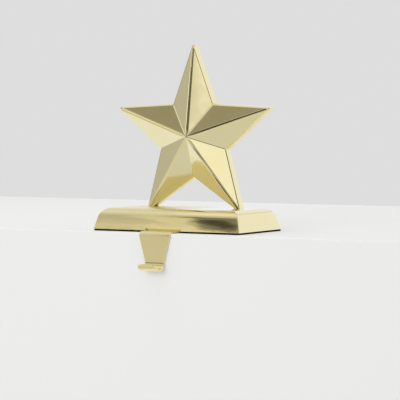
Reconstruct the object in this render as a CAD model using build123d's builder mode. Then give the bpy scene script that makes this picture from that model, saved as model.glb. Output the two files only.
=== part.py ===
"""Shelf-edge stocking holder: a hollow cast star on a heavy base with a J hook.

Units are millimetres. X runs along the shelf, -Y is the front and +Z is up.
The origin is the middle of the resting face under the base.
"""

import os
from math import cos, pi, radians, sin, sqrt, tan

from build123d import *

# Base casting
base_length = 140.0
base_depth = 69.0
base_height = 17.8
base_lean = 14.0
base_top_radius = 9.5

# Underside pad
pad_thickness = 1.0
pad_inset = 0.2
pad_corner_radius = 1.0
pad_hook_clearance = 0.8

# Star casting
star_tip_radius = 79.0
star_valley_radius = 33.8
star_relief = 12.1
star_rim_depth = 6.0
star_wall = 3.0
star_setback = 18.2
star_foot_sink = 5.2
star_foot_solid = 15.0
star_tip_round = 1.3
star_valley_round = 1.0
star_ridge_round = 2.0
star_crown_radius = 12.0
star_rim_bevel = 0.5

# Hook strip
hook_thickness = 1.5
hook_offset_x = -2.0
hook_tail_width = 33.0
hook_tail_length = 30.0
hook_bend_width = 29.0
hook_curl_width = 18.0
hook_reach = 13.4
hook_drop = 23.0
hook_bend_inner_radius = 2.3
hook_curl_inner_radius = 5.75
hook_curl_sweep = 170.0
hook_lip_corner = 4.0
hook_tail_corner = 3.0
hook_seat_clearance = 0.3
hook_notch_height = 2.0
hook_notch_depth = 6.0
hook_notch_clearance = 0.5

# Screws
screw_diameter = 3.0
screw_hole_clearance = 0.2
thread_clearance = 0.05
star_screw_length = 14.0
star_screw_head_diameter = 5.6
star_screw_head_height = 2.2
star_screw_head_room = 0.4
star_screw_head_round = 0.8
star_screw_sink = 9.0
star_screw_inset = 5.4
hook_screw_length = 10.0
hook_screw_head_diameter = 5.8
hook_screw_head_angle = 90.0
hook_screw_spacing = 18.0
hook_screw_from_front = 18.0
screw_recess_width = 0.8
screw_recess_length = 3.0
screw_recess_depth = 0.9
screw_tip_room = 1.0

# Half the angle between neighbouring points of a five-pointed star
star_step = pi / 5

# Levels and places worked out from the sizes above
base_bottom_z = pad_thickness
base_top_z = base_bottom_z + base_height
base_front_y = -base_depth / 2
star_center_z = base_top_z - star_foot_sink + star_tip_radius * cos(star_step)
star_back_y = base_depth / 2 - star_setback
star_front_y = star_back_y - star_rim_depth
star_screw_x = star_tip_radius * sin(star_step) - star_screw_inset
star_screw_y = star_front_y + star_rim_depth / 2
star_screw_seat_z = base_bottom_z + star_screw_sink
star_screw_tip_z = star_screw_seat_z + star_screw_length
hook_tail_end_y = base_front_y + hook_tail_length
hook_front_y = base_front_y - hook_reach
hook_leg_y = hook_front_y + hook_thickness / 2
hook_curl_radius = hook_curl_inner_radius + hook_thickness / 2
hook_curl_y = hook_leg_y - hook_curl_radius
hook_curl_z = -hook_drop
hook_lip_y = hook_curl_y - hook_curl_radius - hook_thickness / 2
hook_lip_z = hook_curl_z - hook_curl_inner_radius * sin(radians(hook_curl_sweep))
hook_lowest_z = hook_curl_z - hook_curl_radius - hook_thickness / 2
hook_screw_y = base_front_y + hook_screw_from_front
hook_screw_head_flare = (hook_screw_head_diameter - screw_diameter) / 2
hook_screw_head_height = hook_screw_head_flare / tan(radians(hook_screw_head_angle / 2))

# Radius of the circle that all ten edge lines of the star touch, and the lean of its facets
valley_x = star_valley_radius * sin(star_step)
valley_run = star_tip_radius - star_valley_radius * cos(star_step)
star_edge_distance = star_tip_radius * valley_x / sqrt(valley_x**2 + valley_run**2)
star_slope = star_relief / star_edge_distance


def star_outline(scale, tip_round, valley_round):
    """Draw the star's outline, shrunk about its middle, with rounded corners."""
    corners = []
    rounds = []
    for point in range(5):
        tip_angle = pi / 2 + 2 * star_step * point
        valley_angle = tip_angle + star_step
        tip = scale * star_tip_radius
        valley = scale * star_valley_radius
        corners.append((tip * cos(tip_angle), tip * sin(tip_angle)))
        corners.append((valley * cos(valley_angle), valley * sin(valley_angle)))
        rounds += [tip_round, valley_round]
    with BuildLine() as outline:
        FilletPolyline(*corners, radius=rounds, close=True)
    make_face(outline.line)


# Space behind the star's facets, down to the solid ends of its two legs
cavity_scale = 1 - star_wall / star_edge_distance
facet_wall_y = star_wall * sqrt(1 + star_slope**2)
cavity_rim_y = star_front_y + facet_wall_y - star_slope * star_wall
cavity_apex_y = star_front_y + facet_wall_y - star_relief
star_back_plane = Plane((0, star_back_y, star_center_z), x_dir=(1, 0, 0), z_dir=(0, -1, 0))
with BuildPart() as star_cavity:
    with BuildSketch(star_back_plane):
        star_outline(cavity_scale, star_valley_round, star_tip_round)
    extrude(amount=star_back_y - cavity_rim_y)
    cavity_front = star_cavity.faces().sort_by(Axis.Y)[0]
    loft([cavity_front, Vertex(0, cavity_apex_y, star_center_z)], ruled=True)
    split(bisect_by=Plane.XY.offset(base_top_z + star_foot_solid), keep=Keep.TOP)

# Outlines of the star's front: the facets' outer edge behind the bevel, and the small crown near the apex
bevel_scale = 1 - star_rim_bevel / star_edge_distance
bevel_rise = star_rim_depth + star_relief * (1 - bevel_scale)
with BuildSketch(star_back_plane.offset(bevel_rise)) as facet_edge:
    star_outline(bevel_scale, bevel_scale * star_tip_round, bevel_scale * star_valley_round)
crown_scale = star_crown_radius / star_tip_radius
crown_rise = star_rim_depth + star_relief * (1 - crown_scale)
with BuildSketch(star_back_plane.offset(crown_rise)) as crown_edge:
    star_outline(crown_scale, star_ridge_round, star_valley_round)

# Star: a rim wall, a bevel, facets with soft ridges drawn up to one point, a hollow back and flat feet
with BuildPart() as star:
    with BuildSketch(star_back_plane):
        star_outline(1.0, star_tip_round, star_valley_round)
    extrude(amount=star_rim_depth - star_rim_bevel)
    wall_front = star.faces().sort_by(Axis.Y)[0]
    loft([wall_front, facet_edge.sketch.face()], ruled=True)
    loft([facet_edge.sketch.face(), crown_edge.sketch.face()], ruled=True)
    star_apex = Vertex(0, star_front_y - star_relief, star_center_z)
    loft([crown_edge.sketch.face(), star_apex], ruled=True)
    add(star_cavity.part, mode=Mode.SUBTRACT)
    split(bisect_by=Plane.XY.offset(base_top_z), keep=Keep.TOP)
    with BuildSketch(Plane.XY.offset(base_top_z)):
        with Locations((-star_screw_x, star_screw_y), (star_screw_x, star_screw_y)):
            Circle(screw_diameter / 2 + thread_clearance)
    extrude(amount=star_screw_tip_z + screw_tip_room - base_top_z, mode=Mode.SUBTRACT)
star.part.label = "star"

# Base: a block with leaning sides, a rounded top edge and crisp corners, let in for the hook's tail
with BuildPart() as base:
    with BuildSketch(Plane.XY.offset(base_bottom_z)):
        Rectangle(base_length, base_depth)
    extrude(amount=base_height, taper=base_lean)
    fillet(base.faces().sort_by(Axis.Z)[-1].edges(), radius=base_top_radius)
    with BuildSketch(Plane.XY):
        with Locations((hook_offset_x, base_front_y)):
            Rectangle(
                hook_tail_width + 2 * hook_seat_clearance,
                2 * (hook_tail_length + hook_seat_clearance),
            )
    extrude(amount=hook_thickness, mode=Mode.SUBTRACT)
    with BuildSketch(Plane.XY.offset(base_bottom_z)):
        with Locations((hook_offset_x, base_front_y)):
            Rectangle(hook_tail_width + 2 * hook_notch_clearance, 2 * hook_notch_depth)
    extrude(amount=hook_notch_height, mode=Mode.SUBTRACT)
    with BuildSketch(Plane.XY.offset(base_bottom_z)):
        with Locations((-star_screw_x, star_screw_y), (star_screw_x, star_screw_y)):
            Circle(star_screw_head_diameter / 2 + star_screw_head_room)
    extrude(amount=star_screw_sink, mode=Mode.SUBTRACT)
    with BuildSketch(Plane.XY.offset(base_bottom_z)):
        with Locations((-star_screw_x, star_screw_y), (star_screw_x, star_screw_y)):
            Circle(screw_diameter / 2 + screw_hole_clearance)
    extrude(amount=base_height, mode=Mode.SUBTRACT)
    with BuildSketch(Plane.XY):
        with Locations((hook_offset_x, hook_screw_y)):
            with GridLocations(hook_screw_spacing, 0, 2, 1):
                Circle(screw_diameter / 2 + thread_clearance)
    extrude(amount=hook_screw_length + screw_tip_room, mode=Mode.SUBTRACT)
base.part.label = "base"

# Hook: one strip bent down over the shelf edge and curled into a J, tapering from tail to lip
with BuildPart() as hook:
    with BuildSketch(Plane.YZ.offset(hook_offset_x)):
        with BuildLine():
            FilletPolyline(
                (hook_tail_end_y, hook_thickness / 2),
                (hook_leg_y, hook_thickness / 2),
                (hook_leg_y, hook_curl_z),
                radius=hook_bend_inner_radius + hook_thickness / 2,
            )
            CenterArc((hook_curl_y, hook_curl_z), hook_curl_radius, 0, -hook_curl_sweep)
        trace(line_width=hook_thickness)
    extrude(amount=hook_tail_width / 2, both=True)
    with BuildSketch(Plane.XY):
        with BuildLine():
            Polyline(
                (hook_offset_x - hook_tail_width / 2, hook_tail_end_y),
                (hook_offset_x - hook_tail_width / 2, base_front_y),
                (hook_offset_x - hook_bend_width / 2, hook_front_y),
                (hook_offset_x - hook_bend_width / 2, hook_lip_y),
                (hook_offset_x + hook_bend_width / 2, hook_lip_y),
                (hook_offset_x + hook_bend_width / 2, hook_front_y),
                (hook_offset_x + hook_tail_width / 2, base_front_y),
                (hook_offset_x + hook_tail_width / 2, hook_tail_end_y),
                close=True,
            )
        make_face()
    extrude(amount=hook_thickness - hook_lowest_z, both=True, mode=Mode.INTERSECT)
    with BuildSketch(Plane.XZ):
        with BuildLine():
            Polyline(
                (hook_offset_x - hook_tail_width / 2, hook_thickness),
                (hook_offset_x - hook_tail_width / 2, 0),
                (hook_offset_x - hook_bend_width / 2, -hook_bend_inner_radius),
                (hook_offset_x - hook_curl_width / 2, hook_curl_z),
                (hook_offset_x - hook_curl_width / 2, hook_lowest_z),
                (hook_offset_x + hook_curl_width / 2, hook_lowest_z),
                (hook_offset_x + hook_curl_width / 2, hook_curl_z),
                (hook_offset_x + hook_bend_width / 2, -hook_bend_inner_radius),
                (hook_offset_x + hook_tail_width / 2, 0),
                (hook_offset_x + hook_tail_width / 2, hook_thickness),
                close=True,
            )
        make_face()
    extrude(amount=hook_tail_length - hook_lip_y, both=True, mode=Mode.INTERSECT)
    with BuildSketch(Plane.XZ.offset(-hook_curl_y)):
        with Locations((hook_offset_x, hook_lip_z)):
            Rectangle(2 * hook_curl_width, 2 * hook_lip_corner)
            RectangleRounded(
                hook_curl_width,
                4 * hook_lip_corner,
                hook_lip_corner,
                align=(Align.CENTER, Align.MAX),
                mode=Mode.SUBTRACT,
            )
    extrude(amount=hook_curl_y - hook_lip_y, mode=Mode.SUBTRACT)
    fillet(hook.edges().filter_by(Axis.Z).group_by(Axis.Y)[-1], radius=hook_tail_corner)
    with Locations(
        Location((hook_offset_x - hook_screw_spacing / 2, hook_screw_y, 0), (180, 0, 0)),
        Location((hook_offset_x + hook_screw_spacing / 2, hook_screw_y, 0), (180, 0, 0)),
    ):
        CounterSinkHole(
            screw_diameter / 2 + screw_hole_clearance,
            hook_screw_head_diameter / 2 + thread_clearance,
            counter_sink_angle=hook_screw_head_angle,
        )
hook.part.label = "hook"

# Pad: a thin sheet under the base, cut out round the hook's tail
with BuildPart() as underside_pad:
    with BuildSketch(Plane.XY):
        RectangleRounded(base_length - 2 * pad_inset, base_depth - 2 * pad_inset, pad_corner_radius)
        with Locations((hook_offset_x, base_front_y)):
            Rectangle(
                hook_tail_width + 2 * pad_hook_clearance,
                2 * (hook_tail_length + pad_hook_clearance),
                mode=Mode.SUBTRACT,
            )
    extrude(amount=pad_thickness)
underside_pad.part.label = "underside_pad"

# Screws that hold the star: pan heads sunk in the base, shanks up into the feet
with BuildPart() as star_screws:
    with BuildSketch(Plane.XY.offset(star_screw_seat_z)):
        with Locations((-star_screw_x, star_screw_y), (star_screw_x, star_screw_y)):
            Circle(screw_diameter / 2)
    extrude(amount=star_screw_length)
    with BuildSketch(Plane.XY.offset(star_screw_seat_z)):
        with Locations((-star_screw_x, star_screw_y), (star_screw_x, star_screw_y)):
            Circle(star_screw_head_diameter / 2)
    extrude(amount=-star_screw_head_height)
    fillet(star_screws.faces().group_by(Axis.Z)[0].edges(), radius=star_screw_head_round)
    with BuildSketch(Plane.XY.offset(star_screw_seat_z - star_screw_head_height)):
        with Locations((-star_screw_x, star_screw_y), (star_screw_x, star_screw_y)):
            Rectangle(screw_recess_length, screw_recess_width)
            Rectangle(screw_recess_width, screw_recess_length)
    extrude(amount=screw_recess_depth, mode=Mode.SUBTRACT)
star_screws.part.label = "star_screws"

# Screws that hold the hook: countersunk heads flush with the strip's underside
with BuildPart() as hook_screws:
    with Locations((hook_offset_x, hook_screw_y, 0)):
        with GridLocations(hook_screw_spacing, 0, 2, 1):
            Cylinder(screw_diameter / 2, hook_screw_length, align=(Align.CENTER, Align.CENTER, Align.MIN))
            Cone(
                hook_screw_head_diameter / 2,
                screw_diameter / 2,
                hook_screw_head_height,
                align=(Align.CENTER, Align.CENTER, Align.MIN),
            )
    with BuildSketch(Plane.XY):
        with Locations((hook_offset_x, hook_screw_y)):
            with GridLocations(hook_screw_spacing, 0, 2, 1):
                Rectangle(screw_recess_length, screw_recess_width)
                Rectangle(screw_recess_width, screw_recess_length)
    extrude(amount=screw_recess_depth, mode=Mode.SUBTRACT)
hook_screws.part.label = "hook_screws"

os.makedirs("parts", exist_ok=True)
for piece in (star, base, hook, underside_pad, star_screws, hook_screws):
    export_step(piece.part, f"parts/{piece.part.label}.step")
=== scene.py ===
# %% [markdown]
# # A star that holds a stocking, from CAD frame to finished picture
# The real object is a gold plated star screwed to a heavy base. A bent strip under the base
# hangs over the front edge of what it stands on, and ends in a J for the stocking's loop. The CAD
# model gives every size and place. This lesson rebuilds what shows with soft, polished edges,
# gives each piece its finish, and sets up the light that draws the facets.

# %% Load the CAD frame
from math import atan2, cos, degrees, radians, sin, sqrt, tan

import bmesh
import bpy
from mathutils import Matrix, Vector


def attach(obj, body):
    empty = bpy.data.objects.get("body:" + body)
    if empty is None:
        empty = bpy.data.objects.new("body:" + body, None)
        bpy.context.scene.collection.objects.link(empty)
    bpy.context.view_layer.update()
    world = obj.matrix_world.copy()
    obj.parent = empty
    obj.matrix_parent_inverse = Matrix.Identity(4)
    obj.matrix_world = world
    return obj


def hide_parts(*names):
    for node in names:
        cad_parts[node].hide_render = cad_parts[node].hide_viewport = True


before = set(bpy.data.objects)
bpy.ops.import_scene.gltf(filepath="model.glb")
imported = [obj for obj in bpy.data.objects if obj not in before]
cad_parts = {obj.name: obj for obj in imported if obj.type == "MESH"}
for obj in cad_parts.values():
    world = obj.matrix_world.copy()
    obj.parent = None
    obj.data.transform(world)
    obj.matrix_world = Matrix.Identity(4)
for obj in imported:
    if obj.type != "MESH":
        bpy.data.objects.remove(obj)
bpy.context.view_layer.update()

mm = 0.001
print("CAD nodes:", ", ".join(sorted(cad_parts)))

# %% [markdown]
# ## Helpers for every piece
# Each piece starts as a bmesh and ends as an object at the origin, with its place in its mesh.
# Polished metal shows every kink, so all faces are shaded smooth, edges that turn sharply are
# marked sharp, and a Weighted Normal modifier lets the large flat faces rule the shading of the
# narrow rounded strips between them. Smooth shading alone would bend the flats near their edges.

# %% From bmesh to finished piece
sharp_turn = radians(40)
large_faces_rule = 100


def mesh_object(bm, name):
    """Move a bmesh into a new object of the scene."""
    mesh = bpy.data.meshes.new(name)
    bm.to_mesh(mesh)
    bm.free()
    made = bpy.data.objects.new(name, mesh)
    bpy.context.collection.objects.link(made)
    return made


def finished_piece(bm, name, node):
    """Turn a bmesh into an object that stands for a CAD node and rides on the one body."""
    bmesh.ops.recalc_face_normals(bm, faces=bm.faces)
    for face in bm.faces:
        face.smooth = True
    for edge in bm.edges:
        edge.smooth = edge.calc_face_angle(0) < sharp_turn
    open_edges = sum(not edge.is_manifold for edge in bm.edges)
    piece = mesh_object(bm, name)
    even = piece.modifiers.new("Even shading", "WEIGHTED_NORMAL")
    even.keep_sharp = True
    even.weight = large_faces_rule
    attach(piece, "root")
    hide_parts(node)
    print(name, "has", len(piece.data.polygons), "faces and", open_edges, "open edges")
    return piece


print("Edges that turn by", round(degrees(sharp_turn)), "degrees or more stay sharp")

# %% [markdown]
# ## The star, ring by ring
# The real star is a thin casting: ten flat facets rise from a narrow rim to one point, the
# ridges between them are softly polished, and the back is hollow. Bevelling the ridges of a
# pointed star leaves a tangle at its tips. A stack of star-shaped rings avoids that: each ring is
# a circle of ten corners with every second corner drawn in and all ten rounded, and bridging one
# ring to the next makes the rim, the facets and the ridges in clean strips. The rounding is a
# bevel. In a script the bevel operator has other defaults than in the editor, so a helper gives
# them all.

# %% One star-shaped ring
star_tip_radius = 79 * mm
star_valley_radius = 33.8 * mm
star_center_z = 77.51 * mm
star_corners = 10
tip_segments = 8
valley_segments = 4


def bevel(bm, geom, offset, segments, affect="EDGES"):
    """Round some edges or corners of a bmesh."""
    return bmesh.ops.bevel(
        bm,
        geom=geom,
        offset=offset,
        offset_type="OFFSET",
        affect=affect,
        segments=segments,
        profile=0.5,
        material=-1,
        clamp_overlap=True,
        loop_slide=True,
    )


def star_ring(bm, scale, y, tip_cut, valley_cut):
    """Add a flat star with rounded corners at the depth y, and return its face."""
    before = set(bm.faces)
    upright = Matrix.Translation((0, y, star_center_z)) @ Matrix.Rotation(radians(90), 4, "X")
    corners = bmesh.ops.create_circle(
        bm, cap_ends=True, segments=star_corners, radius=scale * star_tip_radius, matrix=upright
    )["verts"]
    tips = []
    valleys = []
    for corner in corners:
        turn_from_top = atan2(corner.co.x, corner.co.z - star_center_z)
        place_in_ring = round(turn_from_top / radians(360 / star_corners))
        if place_in_ring % 2:
            valleys.append(corner)
        else:
            tips.append(corner)
    draw_in = Vector((1, 1, 1)) * star_valley_radius / star_tip_radius
    bmesh.ops.scale(bm, verts=valleys, vec=draw_in, space=upright.inverted())
    bevel(bm, tips, tip_cut, tip_segments, affect="VERTICES")
    bevel(bm, valleys, valley_cut, valley_segments, affect="VERTICES")
    return [face for face in bm.faces if face not in before][0]


print("Tips lie", round(star_tip_radius / mm, 1), "mm from the star's middle")
print("Valleys lie", round(star_valley_radius / mm, 1), "mm from it")

# %% [markdown]
# The rings run from the point of the front over the rim to the deepest point of the hollow. Each
# row gives the ring's share of the full size, its depth along Y and how far its tips and
# valleys are cut back. The ridges stay about as wide near the point as at the tips, because their
# cut keeps its length while the ring shrinks. Two rings in one plane may be bridged with a twist,
# so the mouth of the hollow starts a step deeper and is moved level with the back afterwards.

# %% Sizes of the rings
star_back_y = 16.3 * mm
star_rim_y = 10.3 * mm
star_point_y = -1.8 * mm
hollow_scale = 0.894
hollow_rim_y = 12.28 * mm
hollow_point_y = 1.46 * mm
tip_cut = 4.25 * mm
ridge_cut = 4.8 * mm
valley_cut = 0.8 * mm
crown_scale = 0.12
point_scale = 0.03
point_cut_share = 0.25
bridge_step = 1 * mm


def facet_y(scale):
    """Depth of the front facets where the star has shrunk to a scale."""
    return star_point_y + scale * (star_rim_y - star_point_y)


def hollow_y(scale):
    """Depth of the hollow's facets where the hollow has shrunk to a scale."""
    return hollow_point_y + scale / hollow_scale * (hollow_rim_y - hollow_point_y)


point_cuts = (point_cut_share * ridge_cut, point_cut_share * valley_cut)
star_rings = [
    (point_scale, facet_y(point_scale), *point_cuts),
    (crown_scale, facet_y(crown_scale), ridge_cut, valley_cut),
    (1.0, star_rim_y, tip_cut, valley_cut),
    (1.0, star_back_y, tip_cut, valley_cut),
    (hollow_scale, star_back_y - bridge_step, tip_cut, valley_cut),
    (hollow_scale, hollow_rim_y, tip_cut, valley_cut),
    (crown_scale, hollow_y(crown_scale), ridge_cut, valley_cut),
    (point_scale, hollow_y(point_scale), *point_cuts),
]
print("Star is", round((star_back_y - star_point_y) / mm, 1), "mm deep, in", len(star_rings), "rings")

# %% [markdown]
# Bridging joins each ring to the next. The hollow is left as it came from the mould, so its faces
# take the star's second material. The faces inside the stack are deleted, and the two faces at its
# ends are poked: a new vertex in the middle of each is lifted to make the point.

# %% Stack and bridge the rings
mouth_ring = 4
hollow_slot = 1
poke_share = 0.5

star_bm = bmesh.new()
star_faces = [star_ring(star_bm, *ring) for ring in star_rings]
for number, pair in enumerate(zip(star_faces, star_faces[1:])):
    loops = [edge for face in pair for edge in face.edges]
    bridged = bmesh.ops.bridge_loops(star_bm, edges=loops)["faces"]
    if number >= mouth_ring:
        for face in bridged:
            face.material_index = hollow_slot
bmesh.ops.translate(star_bm, verts=star_faces[mouth_ring].verts, vec=(0, bridge_step, 0))
bmesh.ops.delete(star_bm, geom=star_faces[1:-1], context="FACES_ONLY")
bmesh.ops.recalc_face_normals(star_bm, faces=star_bm.faces)

point_cap, hollow_cap = star_faces[0], star_faces[-1]
hollow_cap.material_index = hollow_slot
point_rise = poke_share * point_scale * (star_rim_y - star_point_y)
hollow_rise = -poke_share * point_scale * (hollow_rim_y - hollow_point_y)
star_point = bmesh.ops.poke(star_bm, faces=[point_cap], offset=point_rise)["verts"][0]
bmesh.ops.poke(star_bm, faces=[hollow_cap], offset=hollow_rise)
print("Star shell has", len(star_bm.faces), "faces, point at y", round(star_point.co.y / mm, 2), "mm")

# %% [markdown]
# The polishing wheel has rounded the rim's front edge towards the facets. A Bevel modifier would
# round the ridges too, so the operator gets the outline's edges only: the ones that lie on the rim
# and join two faces at a clear angle.

# %% Polish the rim
rim_round = 2.2 * mm
rim_segments = 9
rim_turn = radians(20)
same_place = 1e-3 * mm

rim_edges = []
for edge in star_bm.edges:
    on_rim = all(abs(vert.co.y - star_rim_y) < same_place for vert in edge.verts)
    if on_rim and edge.calc_face_angle(0) > rim_turn:
        rim_edges.append(edge)
bevel(star_bm, rim_edges, rim_round, rim_segments)
print("Rounded", len(rim_edges), "rim edges by up to", round(rim_round / mm, 1), "mm")

# %% [markdown]
# The last 15 mm of each leg is solid, to take a screw. Filling the hollow with a block and a
# Boolean would break the long strips into slivers. Instead the hollow is scored level, and what
# lies below the score is deleted.

# %% Cut the hollow off in the legs
leg_solid_z = 33.8 * mm
cut_tolerance = 1e-4 * mm


def cut_across(bm, point, normal, geom=None, clear_inner=False):
    """Score some or all of a bmesh along a plane, and clear what lies behind it if asked."""
    bmesh.ops.bisect_plane(
        bm,
        geom=geom or bm.verts[:] + bm.edges[:] + bm.faces[:],
        dist=cut_tolerance,
        plane_co=point,
        plane_no=normal,
        clear_inner=clear_inner,
    )


def in_hollow(part):
    """Tell whether an edge or a vertex belongs to a face of the hollow."""
    return any(face.material_index == hollow_slot for face in part.link_faces)


hollow = [face for face in star_bm.faces if face.material_index == hollow_slot]
hollow += filter(in_hollow, star_bm.edges)
hollow += filter(in_hollow, star_bm.verts)
cut_across(star_bm, (0, 0, leg_solid_z), (0, 0, 1), geom=hollow)
low = []
for face in star_bm.faces:
    if face.material_index == hollow_slot and face.calc_center_median().z < leg_solid_z:
        low.append(face)
bmesh.ops.delete(star_bm, geom=low, context="FACES")
print("Took", len(low), "faces of the hollow out of the legs")

# %% [markdown]
# That leaves one open loop in each leg, partly level and partly in the plane of the back. A new edge
# across the back splits it into two flat loops, and both are filled. Then the legs are cut off level
# with the base's top, and the feet are filled, so that the star stands flat.

# %% Close the legs and cut the feet
base_top_z = 18.8 * mm

open_edges = [edge for edge in star_bm.edges if edge.is_boundary]
for side in (-1, 1):
    level = []
    for vert in star_bm.verts:
        at_cut = abs(vert.co.z - leg_solid_z) < same_place
        if vert.is_boundary and at_cut and side * vert.co.x > 0:
            level.append(vert)
    level.sort(key=lambda vert: vert.co.y)
    open_edges.append(star_bm.edges.new(level[-2:]))
closed = bmesh.ops.edgenet_fill(star_bm, edges=open_edges)["faces"]
for face in closed:
    face.material_index = hollow_slot

cut_across(star_bm, (0, 0, base_top_z), (0, 0, 1), clear_inner=True)
foot_edges = [edge for edge in star_bm.edges if edge.is_boundary]
feet = bmesh.ops.holes_fill(star_bm, edges=foot_edges)["faces"]
print("Closed the legs with", len(closed), "faces and cut", len(feet), "feet")
star = finished_piece(star_bm, "star_casting", "star")

# %% [markdown]
# ## The base
# The base is one heavy block with leaning sides. An inset and a tapered extrusion could make it, but
# a cube is quicker: it is stretched to size, and its upper corners are moved inwards by the lean.

# %% Block with leaning sides
base_length = 140 * mm
base_depth = 69 * mm
base_bottom_z = 1.45 * mm
base_height = base_top_z - base_bottom_z
base_lean_angle = radians(14)

base_bm = bmesh.new()
block = Matrix.Translation((0, 0, base_bottom_z + base_height / 2))
block = block @ Matrix.Diagonal((base_length, base_depth, base_height, 1))
bmesh.ops.create_cube(base_bm, size=1, matrix=block)
for vert in base_bm.verts:
    inwards = (vert.co.z - base_bottom_z) * tan(base_lean_angle)
    vert.co.x -= inwards * (1 if vert.co.x > 0 else -1)
    vert.co.y -= inwards * (1 if vert.co.y > 0 else -1)
print("Block leans in by", round(base_height * tan(base_lean_angle) / mm, 1), "mm at the top")

# %% [markdown]
# The top edge of the base is well rounded and its four corners are crisp. Bevelling all of them
# together would give a ball at each corner. So the top edges come first, and the corner edges that
# are left between the sides get a hair's breadth of their own afterwards.

# %% Rounded top edge
top_round = 9.5 * mm
top_segments = 20

top_edges = []
for edge in base_bm.edges:
    if all(vert.co.z > base_top_z - mm for vert in edge.verts):
        top_edges.append(edge)
top_cut = top_round * tan((radians(90) - base_lean_angle) / 2)
bevel(base_bm, top_edges, top_cut, top_segments)
print("Rounded", len(top_edges), "top edges with a radius of", round(top_round / mm, 1), "mm")

# %% [markdown]
# A corner edge is found by its place near a corner of the base, by climbing, and by turning: the
# edges along the rounded top are level or nearly flat.

# %% Crisp corners
corner_round = 0.6 * mm
corner_segments = 3
corner_zone = 14 * mm
corner_turn = radians(5)

base_bm.normal_update()
corner_edges = []
for edge in base_bm.edges:
    first, second = (vert.co for vert in edge.verts)
    middle = (first + second) / 2
    at_end = abs(middle.x) > base_length / 2 - corner_zone
    at_side = abs(middle.y) > base_depth / 2 - corner_zone
    climbs = abs(first.z - second.z) > same_place
    if at_end and at_side and climbs and edge.calc_face_angle(0) > corner_turn:
        corner_edges.append(edge)
bevel(base_bm, corner_edges, corner_round, corner_segments)
print("Base block has", len(base_bm.faces), "faces")

# %% [markdown]
# The strip leaves the base through a shallow slot in the lower front edge. A Boolean could cut it,
# but leaves slivers in the long front, which a mirror finish shows. Four cuts score the slot's
# outline instead, and the patches of front and floor inside it are picked out.

# %% Score the slot
base_front_y = -base_depth / 2
hook_x = -2 * mm
slot_half_width = 17 * mm
slot_top_z = 3.0 * mm
slot_depth = 2.4 * mm
slot_back_y = base_front_y + slot_depth
facing_down = -0.9

cut_across(base_bm, (hook_x - slot_half_width, 0, 0), (1, 0, 0))
cut_across(base_bm, (hook_x + slot_half_width, 0, 0), (1, 0, 0))
cut_across(base_bm, (0, 0, slot_top_z), (0, 0, 1))
cut_across(base_bm, (0, slot_back_y, 0), (0, 1, 0))
base_bm.normal_update()


def over_slot(face):
    """Tell whether a face of the base lies within the slot's plan."""
    center = face.calc_center_median()
    return abs(center.x - hook_x) < slot_half_width and center.y < slot_back_y


slot_floor = []
slot_front = []
for face in filter(over_slot, base_bm.faces):
    if face.normal.z < facing_down:
        slot_floor.append(face)
    elif face.calc_center_median().z < slot_top_z:
        slot_front.append(face)
print("Slot faces in front:", len(slot_front), "and on the floor:", len(slot_floor))

# %% [markdown]
# The front patch is extruded and moved back. Its top edge moves a little less than its bottom edge,
# because a slot that is cast leans so that it leaves the mould. The bottom edge then meets the edge
# that the floor left, so both are merged, and the folded faces between them go.

# %% Push the slot in
slot_draft = 0.3 * mm


def pick(parts, kind):
    """Pick the parts of one kind from an operator's mixed list."""
    return [part for part in parts if isinstance(part, kind)]


bmesh.ops.delete(base_bm, geom=slot_floor, context="FACES_ONLY")
pushed = bmesh.ops.extrude_face_region(base_bm, geom=slot_front)["geom"]
bmesh.ops.delete(base_bm, geom=slot_front, context="FACES_ONLY")
for vert in pick(pushed, bmesh.types.BMVert):
    at_top = vert.co.z > slot_top_z - same_place
    vert.co.y = slot_back_y - (slot_draft if at_top else 0)
bmesh.ops.remove_doubles(base_bm, verts=base_bm.verts, dist=same_place)
folded = []
for face in filter(over_slot, base_bm.faces):
    if face.calc_center_median().z < base_bottom_z + same_place:
        folded.append(face)
bmesh.ops.delete(base_bm, geom=folded, context="FACES")
print("Slot is", round(slot_depth / mm, 1), "mm deep. Folded faces removed:", len(folded))
base = finished_piece(base_bm, "base_casting", "base")

# %% [markdown]
# ## The hook
# The hook is one strip of metal: flat under the base, bent down in front, narrowing towards the
# bottom and curled into a J. A curve with a flat profile would follow that line, but its width is
# hard to taper. So the strip is made as in the workshop: one edge across it is extruded along the
# straight runs and spun round the bends. Two helpers do that and return the strip's new last edge.

# %% Start of the strip
strip_thickness = 1.5 * mm
strip_tail_half = 16.5 * mm
tail_end_y = -4.5 * mm

hook_bm = bmesh.new()
tail_left = hook_bm.verts.new((hook_x - strip_tail_half, tail_end_y, strip_thickness))
tail_right = hook_bm.verts.new((hook_x + strip_tail_half, tail_end_y, strip_thickness))
row = hook_bm.edges.new((tail_left, tail_right))


def straight(edge, move):
    """Extrude the strip's last edge along a straight run."""
    grown = bmesh.ops.extrude_edge_only(hook_bm, edges=[edge])["geom"]
    bmesh.ops.translate(hook_bm, verts=pick(grown, bmesh.types.BMVert), vec=move)
    return pick(grown, bmesh.types.BMEdge)[0]


def bend(edge, center, angle, steps):
    """Spin the strip's last edge round a bend."""
    ends = [edge, *edge.verts]
    spun = bmesh.ops.spin(
        hook_bm, geom=ends, cent=center, axis=(1, 0, 0), angle=angle, steps=steps
    )["geom_last"]
    return pick(spun, bmesh.types.BMEdge)[0]


print("Strip starts", round(2 * strip_tail_half / mm, 1), "mm wide, under the base")

# %% [markdown]
# The runs follow the strip from its tail to its lip: to the base's front, on to the bend, round it,
# down the leg, and round the curl, which is nearly a half turn.

# %% Runs and bends
leg_front_y = -47.9 * mm
bend_outer_radius = 3.8 * mm
bend_center = Vector((0, leg_front_y + bend_outer_radius, strip_thickness - bend_outer_radius))
bend_steps = 16
curl_center = Vector((0, -53.65 * mm, -23 * mm))
curl_turn = radians(-170)
curl_steps = 48

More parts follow.
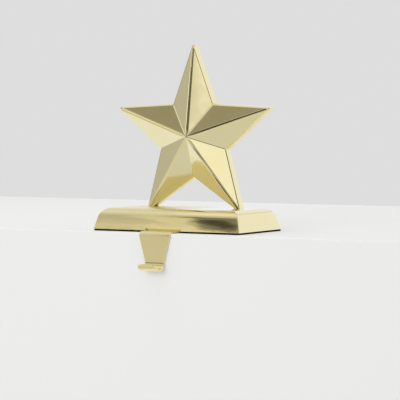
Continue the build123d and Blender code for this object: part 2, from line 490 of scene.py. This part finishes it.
row = straight(row, Vector((0, base_front_y - tail_end_y, 0)))
row = straight(row, Vector((0, bend_center.y - base_front_y, 0)))
row = bend(row, bend_center, radians(90), bend_steps)
row = straight(row, Vector((0, 0, curl_center.z - bend_center.z)))
row = bend(row, curl_center, curl_turn, curl_steps)
lip_z = row.verts[0].co.z
print("Strip sheet has", len(hook_bm.faces), "faces, its lip at z", round(lip_z / mm, 1), "mm")

# %% [markdown]
# Each row across the strip is narrowed to the width that the strip has there. It tapers in two
# stages, from the base to the bend and down the leg, and the lip's two corners are rounded off. The
# tail's corners are rounded by a bevel.

# %% Taper and round ends
strip_bend_half = 14.5 * mm
strip_curl_half = 9 * mm
lip_round = 4 * mm
tail_round = 3 * mm
tail_segments = 6


def strip_half_width(point):
    """Half the strip's width at a point of its length."""
    if point.z > bend_center.z:
        share = (base_front_y - point.y) / (base_front_y - leg_front_y)
        start, end = strip_tail_half, strip_bend_half
    else:
        share = (bend_center.z - point.z) / (bend_center.z - curl_center.z)
        start, end = strip_bend_half, strip_curl_half
    half = start + (end - start) * min(max(share, 0), 1)
    if point.y < curl_center.y and lip_z - point.z < lip_round:
        to_arc = lip_round - max(lip_z - point.z, 0)
        half -= lip_round - sqrt(lip_round**2 - to_arc**2)
    return half


for vert in hook_bm.verts:
    side = 1 if vert.co.x > hook_x else -1
    vert.co.x = hook_x + side * strip_half_width(vert.co)
bevel(hook_bm, [tail_left, tail_right], tail_round, tail_segments, affect="VERTICES")
print("Strip is", round(2 * strip_curl_half / mm, 1), "mm wide at the curl")

# %% [markdown]
# Solidify gives the sheet its thickness, and the long arrises are broken by a small bevel. The heads
# of two screws lie flush in the strip's underside. Two faces in one plane flicker, so the underside
# is lifted by a hair and the heads show as discs.

# %% Thickness and soft edges
screw_proud = 0.03 * mm
arris_round = 0.3 * mm
arris_segments = 3
arris_turn = radians(60)

bmesh.ops.recalc_face_normals(hook_bm, faces=hook_bm.faces)
hook_bm.faces.ensure_lookup_table()
if hook_bm.faces[0].normal.z < 0:
    bmesh.ops.reverse_faces(hook_bm, faces=hook_bm.faces)
bmesh.ops.solidify(hook_bm, geom=hook_bm.faces[:], thickness=strip_thickness - screw_proud)
bmesh.ops.recalc_face_normals(hook_bm, faces=hook_bm.faces)
arrises = [edge for edge in hook_bm.edges if edge.calc_face_angle(0) > arris_turn]
bevel(hook_bm, arrises, arris_round, arris_segments)
lowest = min(vert.co.z for vert in hook_bm.verts)
print("Strip reaches down to", round(lowest / mm, 2), "mm")
hook = finished_piece(hook_bm, "hook_strip", "hook")

# %% [markdown]
# ## The pad
# A thin sheet of black foam is stuck under the base, with a gap for the strip. A cut-out in a cube
# would need a Boolean. One flat outline of eight corners is simpler, and only the four corners at
# the outside are rounded.

# %% Outline of the pad
pad_half_x = 69.8 * mm
pad_half_y = 34.3 * mm
pad_gap_half = 17.3 * mm
pad_gap_end_y = -3.7 * mm
pad_corner_round = 1 * mm
pad_corner_segments = 4

pad_bm = bmesh.new()
pad_outline = [
    (-pad_half_x, -pad_half_y),
    (hook_x - pad_gap_half, -pad_half_y),
    (hook_x - pad_gap_half, pad_gap_end_y),
    (hook_x + pad_gap_half, pad_gap_end_y),
    (hook_x + pad_gap_half, -pad_half_y),
    (pad_half_x, -pad_half_y),
    (pad_half_x, pad_half_y),
    (-pad_half_x, pad_half_y),
]
pad_verts = [pad_bm.verts.new((x, y, 0)) for x, y in pad_outline]
pad_bm.faces.new(pad_verts)
outer_corners = [pad_verts[0], *pad_verts[5:]]
bevel(pad_bm, outer_corners, pad_corner_round, pad_corner_segments, affect="VERTICES")
print("Pad outline has", len(pad_bm.verts), "points")

# %% [markdown]
# The outline is extruded to the pad's thickness, and its edges are softened a little, as cut foam is.

# %% Thickness of the pad
pad_thickness = base_bottom_z
pad_edge_round = 0.06 * mm
pad_edge_segments = 2
pad_edge_turn = radians(80)

grown = bmesh.ops.extrude_face_region(pad_bm, geom=pad_bm.faces[:])["geom"]
pad_top = pick(grown, bmesh.types.BMVert)
bmesh.ops.translate(pad_bm, verts=pad_top, vec=(0, 0, pad_thickness))
bmesh.ops.recalc_face_normals(pad_bm, faces=pad_bm.faces)
pad_edges = [edge for edge in pad_bm.edges if edge.calc_face_angle(0) > pad_edge_turn]
bevel(pad_bm, pad_edges, pad_edge_round, pad_edge_segments)
pad = finished_piece(pad_bm, "foam_pad", "underside_pad")

# %% [markdown]
# ## Finishes
# A finish is a small network of shader nodes. The helper below adds a node, sets its plain values
# and joins its inputs, so that each finish reads as a short recipe. All patterns lie on Object
# coordinates, which are metres in the CAD frame, so a noise scale of 40 has waves of about 25 mm.

# %% Node helper
def new_finish(name):
    """Start a node material and return it with its tree and its shader."""
    material = bpy.data.materials.new(name)
    material.use_nodes = True
    return material, material.node_tree, material.node_tree.nodes["Principled BSDF"]


def add_node(tree, kind, settings=None, **inputs):
    """Add a node, set its settings, and set or link its inputs by name or by number, as in i0."""
    node = tree.nodes.new(kind)
    for key, value in (settings or {}).items():
        setattr(node, key, value)
    for key, value in inputs.items():
        numbered = key[0] == "i" and key[1:].isdigit()
        socket = node.inputs[int(key[1:]) if numbered else key]
        if isinstance(value, bpy.types.NodeSocket):
            tree.links.new(value, socket)
        else:
            socket.default_value = value
    return node


def object_place(tree):
    """Add the coordinates that every pattern lies on."""
    return add_node(tree, "ShaderNodeTexCoord").outputs["Object"]


print("Finishes to come for", len(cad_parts), "CAD nodes or the pieces in their place")

# %% [markdown]
# Three small functions name what the nodes are used for most: a noise pattern, a spread of its
# values, and a mix of two colours. Noise rarely leaves the middle of its range, so the spread
# stretches that middle part.

# %% Patterns and colours
noise_low = 0.35
noise_high = 0.65


def noise(tree, place, scale, detail=2.0):
    """Add a noise pattern on some coordinates and return its value."""
    node = add_node(tree, "ShaderNodeTexNoise", Vector=place, Scale=scale, Detail=detail)
    return node.outputs["Fac"]


def spread(tree, value, low, high):
    """Spread a noise pattern's middle range from a low to a high value."""
    node = add_node(
        tree, "ShaderNodeMapRange", i0=value, i1=noise_low, i2=noise_high, i3=low, i4=high
    )
    return node.outputs["Result"]


def blend_colors(tree, share, first, second):
    """Mix two plain colours by a pattern."""
    node = add_node(tree, "ShaderNodeMix", {"data_type": "RGBA"}, i0=share, i6=first, i7=second)
    return node.outputs["Result"]


print("Noise is spread from", noise_low, "to", noise_high)

# %% [markdown]
# ### Gold plate
# The castings and the strip are zinc and steel with a polished, pale gold plating. Polishing by
# hand leaves the flats slightly wavy over a few centimetres, which bends the reflections, and a
# thin haze that differs a little from place to place. The inside of the star is not polished: it
# keeps the grain of the mould. Two bumps in a row give the waves and the grain, and a piece may put
# a shape of its own before them and add to the haze.

# %% Gold plate recipe
pale_gold = (0.95, 0.86, 0.52, 1)
deep_gold = (0.94, 0.83, 0.46, 1)
tone_scale = 22.0
haze_scale = 75.0
wave_scale = 28.0
grain_scale = 900.0


def calculate(tree, operation, *values):
    """Add a math node for one or two values and return its result."""
    inputs = {f"i{number}": value for number, value in enumerate(values)}
    return add_node(tree, "ShaderNodeMath", {"operation": operation}, **inputs).outputs[0]


def gold_plate(name, haze, wave, grain, shape=None, more_haze=None):
    """Make a plated metal: two close golds, a hazy gloss, slow waves and fine grain."""
    material, tree, shader = new_finish(name)
    place = object_place(tree)
    tone = spread(tree, noise(tree, place, tone_scale), 0.0, 1.0)
    gloss = spread(tree, noise(tree, place, haze_scale, detail=3.0), *haze)
    if more_haze:
        gloss = calculate(tree, "ADD", gloss, more_haze(tree, place))
    slow = noise(tree, place, wave_scale, detail=1.0)
    fine = noise(tree, place, grain_scale)
    waves = add_node(tree, "ShaderNodeBump", Strength=1.0, Distance=wave, Height=slow)
    if shape:
        tree.links.new(shape(tree, place), waves.inputs["Normal"])
    surface = add_node(tree, "ShaderNodeBump", Strength=1.0, Distance=grain, Height=fine)
    tree.links.new(waves.outputs["Normal"], surface.inputs["Normal"])
    shader.inputs["Metallic"].default_value = 1.0
    tree.links.new(blend_colors(tree, tone, pale_gold, deep_gold), shader.inputs["Base Color"])
    tree.links.new(gloss, shader.inputs["Roughness"])
    tree.links.new(surface.outputs["Normal"], shader.inputs["Normal"])
    return material


print("Waves of the gold are about", round(1 / wave_scale / mm), "mm long")

# %% [markdown]
# The base is polished along its length on a soft wheel. That leaves its sides a little fuller in the
# middle than at their edges, and streaky. The fullness is a tenth of a millimetre, too little to
# model, but a mirror shows it. A bump that falls with the square of the height makes the crown, and
# a noise that is stretched along the base makes the streaks.

# %% Crown and streaks of the base
crown_fall = 0.10 * mm
crown_reach = 6.5 * mm
crown_middle_z = 7.5 * mm
streak_height = 0.02 * mm
streak_scale = 420.0
streak_stretch = (0.28, 0.28, 1.0)


def crowned_streaks(tree, place):
    """Turn the sides' shading as if they were crowned from top to bottom and streaked lengthwise."""
    axes = add_node(tree, "ShaderNodeSeparateXYZ", Vector=place).outputs
    above = calculate(tree, "SUBTRACT", axes["Z"], crown_middle_z)
    reach = calculate(tree, "DIVIDE", above, crown_reach)
    fall = calculate(tree, "MULTIPLY", reach, reach)
    hump = {"invert": True}
    crowned = add_node(tree, "ShaderNodeBump", hump, Strength=1.0, Distance=crown_fall, Height=fall)
    long_place = add_node(tree, "ShaderNodeMapping", Vector=place, Scale=streak_stretch).outputs[0]
    streaks = noise(tree, long_place, streak_scale)
    streaky = add_node(tree, "ShaderNodeBump", Strength=1.0, Distance=streak_height, Height=streaks)
    tree.links.new(crowned.outputs["Normal"], streaky.inputs["Normal"])
    return streaky.outputs["Normal"]


print("Crown falls", round(crown_fall / mm, 2), "mm in", round(crown_reach / mm, 1), "mm from its middle")

# %% [markdown]
# The wheel did less at the base's left end, so that end is hazier, and most of all on its rounded
# edge. The haze is the product of two ramps, one along the base and one up its side. Plating that is
# stretched round a bend turns dull too, so the strip gets more haze at its upper bend.

# %% Haze at the left end and at the bend
haze_left_x = -10 * mm
haze_right_x = 34 * mm
haze_low_z = 10.5 * mm
haze_high_z = 13 * mm
flat_haze = 0.03
edge_haze = 0.27
bend_haze = 0.24


def ramp(tree, value, start, end, first, last):
    """Ramp smoothly from a first to a last value while another value runs from start to end."""
    smooth = {"interpolation_type": "SMOOTHSTEP"}
    node = add_node(
        tree, "ShaderNodeMapRange", smooth, i0=value, i1=start, i2=end, i3=first, i4=last
    )
    return node.outputs["Result"]


def hazy_left_end(tree, place):
    """Add haze towards the left end, and most on its rounded edge."""
    axes = add_node(tree, "ShaderNodeSeparateXYZ", Vector=place).outputs
    upwards = ramp(tree, axes["Z"], haze_low_z, haze_high_z, flat_haze, edge_haze)
    leftwards = ramp(tree, axes["X"], haze_left_x, haze_right_x, 1.0, 0.0)
    return calculate(tree, "MULTIPLY", upwards, leftwards)


def hazy_bend(tree, place):
    """Add haze where the strip bends down."""
    height = add_node(tree, "ShaderNodeSeparateXYZ", Vector=place).outputs["Z"]
    return ramp(tree, height, bend_center.z - mm, bend_center.z + mm, 0.0, bend_haze)


print("Roughness rises by up to", edge_haze, "at the left end and", bend_haze, "at the bend")

# %% [markdown]
# Each piece gets its own mix of the recipe: how hazy the gloss is, how high the waves are and how
# high the grain is. The star takes two of them, the polished one first and then the mould's.

# %% Gold plate on each piece
casting_gold = gold_plate("casting_gold", haze=(0.07, 0.12), wave=0.20 * mm, grain=0.0004 * mm)
mould_gold = gold_plate("mould_gold", haze=(0.28, 0.40), wave=0.10 * mm, grain=0.02 * mm)
base_gold = gold_plate(
    "base_gold",
    haze=(0.07, 0.10),
    wave=0.05 * mm,
    grain=0.0006 * mm,
    shape=crowned_streaks,
    more_haze=hazy_left_end,
)
strip_gold = gold_plate(
    "strip_gold", haze=(0.08, 0.13), wave=0.06 * mm, grain=0.0006 * mm, more_haze=hazy_bend
)
star.data.materials.append(casting_gold)
star.data.materials.append(mould_gold)
base.data.materials.append(base_gold)
hook.data.materials.append(strip_gold)
print("Gold plate on", star.name, base.name, hook.name)

# %% [markdown]
# ### Foam
# Foam is nearly black, dull and finely pitted. The cells of a Voronoi pattern give the pits and paint
# the middle of each pit a little darker than its edge, as painted shade in the pit. Noise would look like
# rough paint.

# %% Foam finish
foam_cell_scale = 1400.0
pit_depth = 0.12 * mm
foam_dark = (0.002, 0.002, 0.002, 1)
foam_light = (0.012, 0.012, 0.011, 1)

foam_black, foam_tree, foam_shader = new_finish("foam_black")
foam_place = object_place(foam_tree)
cells = add_node(foam_tree, "ShaderNodeTexVoronoi", Vector=foam_place, Scale=foam_cell_scale)
pits = cells.outputs["Distance"]
# The darker middle of each pit is painted shade; the same cells also give the pits' bump.
foam_tone_with_pit_shade = blend_colors(foam_tree, pits, foam_dark, foam_light)
foam_bump = add_node(foam_tree, "ShaderNodeBump", Strength=0.8, Distance=pit_depth, Height=pits)
foam_shader.inputs["Roughness"].default_value = 0.95
foam_shader.inputs["Specular IOR Level"].default_value = 0.05
foam_tree.links.new(foam_tone_with_pit_shade, foam_shader.inputs["Base Color"])
foam_tree.links.new(foam_bump.outputs["Normal"], foam_shader.inputs["Normal"])
pad.data.materials.append(foam_black)
print("Foam on", pad.name, "with pits of about", round(1 / foam_cell_scale / mm, 1), "mm")

# %% [markdown]
# ### Screws
# The screws are zinc plated steel and only show from underneath, so the CAD shapes stay and get a
# finish of their own: a grey metal with the cloudy blooms of zinc.

# %% Screw finish
bloom_scale = 700.0
zinc_dark = (0.52, 0.53, 0.55, 1)
zinc_light = (0.66, 0.67, 0.68, 1)

screw_zinc, screw_tree, screw_shader = new_finish("screw_zinc")
blooms = noise(screw_tree, object_place(screw_tree), bloom_scale, detail=3.0)
screw_tone = blend_colors(screw_tree, blooms, zinc_dark, zinc_light)
screw_gloss = spread(screw_tree, blooms, 0.28, 0.45)
screw_shader.inputs["Metallic"].default_value = 1.0
screw_tree.links.new(screw_tone, screw_shader.inputs["Base Color"])
screw_tree.links.new(screw_gloss, screw_shader.inputs["Roughness"])
screw_nodes = ("star_screws", "hook_screws")
for node_name in screw_nodes:
    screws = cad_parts[node_name]
    screws.data.materials.clear()
    screws.data.materials.append(screw_zinc)
print("Zinc on", " and ".join(screw_nodes))

# %% [markdown]
# ## The stage
# The object needs an edge to hang over, so the floor is a plain pale block with its front edge just
# behind the strip's leg. The front edge is rounded a little, so that it catches the light.

# %% Floor
floor_front_y = -46.2 * mm
floor_back_y = 0.45
floor_half_x = 1.6
floor_drop = 0.5
floor_edge_round = 0.8 * mm
floor_edge_segments = 3

floor_bm = bmesh.new()
floor_middle_y = (floor_front_y + floor_back_y) / 2
floor_place = Matrix.Translation((0, floor_middle_y, -floor_drop / 2))
floor_size = Matrix.Diagonal((2 * floor_half_x, floor_back_y - floor_front_y, floor_drop, 1))
bmesh.ops.create_cube(floor_bm, size=1, matrix=floor_place @ floor_size)
front_edges = []
for edge in floor_bm.edges:
    if all(vert.co.z > -mm and vert.co.y < 0 for vert in edge.verts):
        front_edges.append(edge)
bevel(floor_bm, front_edges, floor_edge_round, floor_edge_segments)
floor = mesh_object(floor_bm, "pale_floor")
print("Floor edge at y", round(floor_front_y / mm, 1), "mm")

# %% [markdown]
# The floor is painted a matt off-white with a slow, faint change of tone. A plain pale world stands
# behind it and lights everything evenly.

# %% Floor paint and surround
paint_scale = 3.0
paint_dark = (0.84, 0.84, 0.83, 1)
paint_light = (0.87, 0.87, 0.86, 1)
surround_level = 0.73

floor_white, floor_tree, floor_shader = new_finish("floor_white")
floor_tone = noise(floor_tree, object_place(floor_tree), paint_scale)
floor_color = blend_colors(floor_tree, floor_tone, paint_dark, paint_light)
floor_shader.inputs["Roughness"].default_value = 0.8
floor_shader.inputs["Specular IOR Level"].default_value = 0.1
floor_tree.links.new(floor_color, floor_shader.inputs["Base Color"])
floor.data.materials.append(floor_white)

world = bpy.data.worlds.new("pale_surround")
world.use_nodes = True
surround = world.node_tree.nodes["Background"]
surround.inputs["Color"].default_value = (1, 1, 1, 1)
surround.inputs["Strength"].default_value = surround_level
bpy.context.scene.world = world
print("Surround at", surround_level)

# %% [markdown]
# ## Light and cards
# Bright metal has little colour of its own to show: its facets look different because each one
# mirrors another part of the room. A photographer shapes that with cards round the object, dark
# ones and white ones. Each card here is a patch of a large sphere. A row gives the first and the
# last azimuth that it covers as seen from the object, counted in degrees from the front towards
# the right, the same for the elevation, then its tone, its tint and how many degrees its edges
# take to fade. A later card hangs nearer and covers the ones before it.

# %% List of cards
neutral = (1.0, 1.0, 1.0)
warm = (1.05, 1.0, 0.86)
cool = (0.97, 1.0, 1.12)
cards = [
    ("left_far", -128, -82, -20, 40, 0.17, warm, 4),
    ("left_side", -84, -64, -14, 16, 0.51, neutral, 2),
    ("left_band", -66, -26, -14, 27, 0.60, warm, 3),
    ("left_low_band", -46, -26, 7, 20.5, 0.65, warm, 1.5),
    ("left_step", -46, -26, 19.5, 33, 0.46, warm, 1.5),
    ("middle_low_band", -35.4, -26, 7, 20.5, 0.80, warm, 1.5),
    ("middle_step", -35.4, -26, 19.5, 31, 0.57, warm, 1.5),
    ("upper_left", -80, -58, 23, 42, 0.58, neutral, 3),
    ("overhead_front", -60, -26, 31.5, 44, 0.295, warm, 3),
    ("upper_front", -72, -34, 41, 60, 0.54, warm, 4),
    ("overhead_left", -114, -50, 46, 78, 0.84, neutral, 12),
    ("low_front", -96, -28, -78, -33, 0.62, warm, 4),
    ("upper_right", -24, 6, 32, 50, 0.49, neutral, 3),
    ("front_dark", -27, -12, -21, 26, 0.03, neutral, 1.0),
    ("dark_low", -33, -12, -21, -8, 0.03, neutral, 1.0),
    ("dark_ridge", -43, -12, 7, 16.8, 0.02, neutral, 0.8),
    ("front_grey", -13, 9, -8, 22, 0.36, warm, 3),
    ("ridge_grey", -16, 6, 8, 20, 0.06, neutral, 4),
    ("valley_dark", -2, 12, -22, -8, 0.05, neutral, 2),
    ("front_right", 8, 36, -10, 34, 0.97, neutral, 4),
    ("right_dark", 26, 62, -16, 40, 0.16, warm, 5),
    ("right_back", 58, 180, -12, 45, 0.92, cool, 6),
    ("back_left", -180, -138, -6, 45, 0.90, cool, 4),
    ("left_glint", -66, -54, 16, 24, 0.95, neutral, 2),
    ("left_low", -80, -55, -36, -16, 0.88, cool, 4),
    ("front_low", -24, 10, -46, -24, 0.66, neutral, 4),
    ("right_rim_line", 24, 74, 12.5, 27, 0.10, warm, 1),
    ("ridge_glint", -64, -45, 7, 15, 1.0, neutral, 1),
    ("top_shade", 3, 11.8, 11.5, 24, 0.30, warm, 0.8),
]
tones = [tone for name, az_start, az_end, el_start, el_end, tone, tint, soft in cards]
print("Listed", len(cards), "cards with tones from", min(tones), "to", max(tones))

# %% [markdown]
# A card glows with its tone and turns clear towards its edges. A mask by texture would need a UV map
# for each card. Instead the material works out the azimuth and the elevation of each point from the
# point's place, and fades by both.

# %% Glow of the cards
def glowing_finish(name, tone, tint):
    """Start an emission material, and return it with its tree and the glow."""
    material = bpy.data.materials.new(name)
    material.use_nodes = True
    tree = material.node_tree
    tree.nodes.clear()
    glow = add_node(tree, "ShaderNodeEmission", Color=(*tint, 1), Strength=tone)
    return material, tree, glow.outputs[0]


def card_fade(tree, value, start, end, soft):
    """Fade a card in after start and out before end, all in degrees."""
    first, last, width = radians(start), radians(end), radians(soft)
    fade_in = ramp(tree, value, first, first + width, 0.0, 1.0)
    fade_out = ramp(tree, value, last, last - width, 0.0, 1.0)
    return calculate(tree, "MULTIPLY", fade_in, fade_out)


def card_finish(name, az_start, az_end, el_start, el_end, tone, tint, soft):
    """Make a glowing tone that fades out towards the card's edges."""
    material, tree, glow = glowing_finish(name, tone, tint)
    place = object_place(tree)
    axes = add_node(tree, "ShaderNodeSeparateXYZ", Vector=place).outputs
    length = add_node(tree, "ShaderNodeVectorMath", {"operation": "LENGTH"}, Vector=place)
    ahead = calculate(tree, "MULTIPLY", axes["Y"], -1.0)
    azimuth = calculate(tree, "ARCTAN2", axes["X"], ahead)
    rise = calculate(tree, "DIVIDE", axes["Z"], length.outputs["Value"])
    elevation = calculate(tree, "ARCSINE", rise)
    across = card_fade(tree, azimuth, az_start, az_end, soft)
    upwards = card_fade(tree, elevation, el_start, el_end, soft)
    cover = calculate(tree, "MULTIPLY", across, upwards)
    clear = add_node(tree, "ShaderNodeBsdfTransparent").outputs[0]
    card = add_node(tree, "ShaderNodeMixShader", i0=cover, i1=clear, i2=glow)
    add_node(tree, "ShaderNodeOutputMaterial", Surface=card.outputs[0])
    return material


fades = [soft for *other_columns, soft in cards]
print("Card edges fade over", min(fades), "to", max(fades), "degrees")

# %% [markdown]
# Each card is an upright arc that is spun round the object. Its radius is a little smaller than that
# of the card before it, so that no two cards share a place. The cards show in the metal only: the
# camera, the diffuse light and the shadows pass them by, and the picture's background stays plain.

# %% Hang the cards
card_radius = 8.0
card_spacing = 0.02
arc_steps = 12
sweep_steps = 16


def towards(azimuth, elevation):
    """Direction with an azimuth from the front and an elevation, both in degrees."""
    level = Vector((sin(radians(azimuth)), -cos(radians(azimuth)), 0))
    return cos(radians(elevation)) * level + Vector((0, 0, sin(radians(elevation))))


def show_in_metal_only(thing):
    """Keep a thing of the stage out of the picture, the diffuse light and the shadows."""
    thing.visible_camera = False
    thing.visible_diffuse = False
    thing.visible_shadow = False


def hang_card(name, az_start, az_end, el_start, el_end, tone, tint, soft, radius):
    """Spin an upright arc round the object to make a card."""
    bm = bmesh.new()
    arc = []
    for step in range(arc_steps + 1):
        elevation = el_start + (el_end - el_start) * step / arc_steps
        arc.append(bm.verts.new(radius * towards(az_start, elevation)))
    edges = [bm.edges.new(pair) for pair in zip(arc, arc[1:])]
    sweep = radians(az_end - az_start)
    bmesh.ops.spin(
        bm, geom=arc + edges, cent=(0, 0, 0), axis=(0, 0, 1), angle=sweep, steps=sweep_steps
    )
    card = mesh_object(bm, name)
    finish = card_finish(name, az_start, az_end, el_start, el_end, tone, tint, soft)
    card.data.materials.append(finish)
    show_in_metal_only(card)


for number, columns in enumerate(cards):
    radius = card_radius - card_spacing * number
    hang_card(*columns, radius)
print("Hung", len(cards), "cards, the nearest", round(radius, 2), "m away")

# %% [markdown]
# Four small flags hang close to the object and, like the cards, show in the metal only. The right
# half of the base's front mirrors a grey one with a dark one before it as a dark, uneven patch, and
# the strip mirrors two pale ones at its bend. Close flags give such a patch a clear end, because a
# flat mirror shows near things at nearly their own size. A row gives the place that mirrors the
# flag, the azimuth and the elevation at which it is seen from there, its distance, its outline in
# millimetres and its tone.

# %% Flags close to the base and the strip
def hang_flag(name, seen_from, azimuth, elevation, distance, outline, tone):
    """Hang a flat flag, with its outline in millimetres, square to the way it is seen."""
    away = towards(azimuth, elevation)
    side = towards(azimuth + 90, 0)
    rise = side.cross(-away)
    middle = seen_from + distance * away
    bm = bmesh.new()
    bm.faces.new([bm.verts.new(middle + (u * side + w * rise) * mm) for u, w in outline])
    flag = mesh_object(bm, name)
    material, tree, glow = glowing_finish(name, tone, warm)
    add_node(tree, "ShaderNodeOutputMaterial", Surface=glow)
    flag.data.materials.append(material)
    show_in_metal_only(flag)
    print(name, "has", len(outline), "corners")


base_front = Vector((47.3, -32.7, 8.3)) * mm
grey_outline = [(-64, 100), (-30, 104), (-10, 82), (14, 45), (27, -18), (-12, -18), (-22, 12), (-36, 45)]
dark_outline = [(-24, -3), (-14, 9), (0, 14), (10, 8), (24, 4), (26, -11), (8, -9), (-3, -4)]
bend_front = Vector((hook_x, leg_front_y, 0))
bend_outline = [(-32, -13), (18, -13), (18, 15), (-32, 15)]
low_outline = [(-26, -10), (26, -10), (26, 13), (-26, 13)]
flags = [
    ("grey_flag", base_front, -33.15, 21.05, 250 * mm, grey_outline, 0.19),
    ("dark_flag", base_front, -33.15, 21.05, 248 * mm, dark_outline, 0.055),
    ("bend_flag", bend_front, -42, 41, 70 * mm, bend_outline, 0.67),
    ("bend_low_flag", bend_front, -35, 12, 70 * mm, low_outline, 0.64),
]
for columns in flags:
    hang_flag(*columns)

# %% [markdown]
# Two wide lamps, one overhead and one in front, give the floor its brightness and the soft shadows
# under the base and the hook. They do not show in the metal, where the cards already tell the story.

# %% Lamps
def hang_lamp(name, place, width, height, power):
    """Hang a soft rectangular lamp that faces the object."""
    lamp_data = bpy.data.lights.new(name, "AREA")
    lamp_data.shape = "RECTANGLE"
    lamp_data.size = width
    lamp_data.size_y = height
    lamp_data.energy = power
    lamp = bpy.data.objects.new(name, lamp_data)
    lamp.location = place
    lamp.rotation_euler = (-lamp.location).to_track_quat("-Z", "Y").to_euler()
    lamp.visible_glossy = False
    bpy.context.collection.objects.link(lamp)
    print(name, "gives", power, "W from", place)


hang_lamp("overhead_lamp", place=(-0.25, 0.1, 1.5), width=1.4, height=1.0, power=6.0)
hang_lamp("front_lamp", place=(-0.3, -2.0, 0.5), width=1.6, height=1.2, power=12.0)

# %% [markdown]
# ## The camera
# The picture was taken from the right and a little above, with a long lens. The camera's place and
# lens below were fitted to the edges of the base, the star and the hook. The lens is worked out
# from its length in pixels, for an image that is 400 pixels wide.

# %% Camera
camera_azimuth = 31.12
camera_elevation = 2.64
camera_roll = radians(-0.16)
camera_distance = 1966 * mm
camera_target = Vector((12.53 * mm, 0, 25.6 * mm))
sensor_width = 36.0
focal_pixels = 2384.3
image_pixels = 400

away = towards(camera_azimuth, camera_elevation)
level_right = towards(camera_azimuth + 90, 0)
level_up = away.cross(level_right)
right_axis = cos(camera_roll) * level_right + sin(camera_roll) * level_up
up_axis = cos(camera_roll) * level_up - sin(camera_roll) * level_right
turn = Matrix((right_axis, up_axis, away)).transposed().to_4x4()

camera_data = bpy.data.cameras.new("photo_camera")
camera_data.sensor_width = sensor_width
camera_data.lens = focal_pixels * sensor_width / image_pixels
camera = bpy.data.objects.new("photo_camera", camera_data)
camera.matrix_world = Matrix.Translation(camera_target + camera_distance * away) @ turn
bpy.context.collection.objects.link(camera)
bpy.context.scene.camera = camera
bpy.context.scene.view_settings.view_transform = "Standard"
print("Camera lens", round(camera_data.lens, 1), "mm")
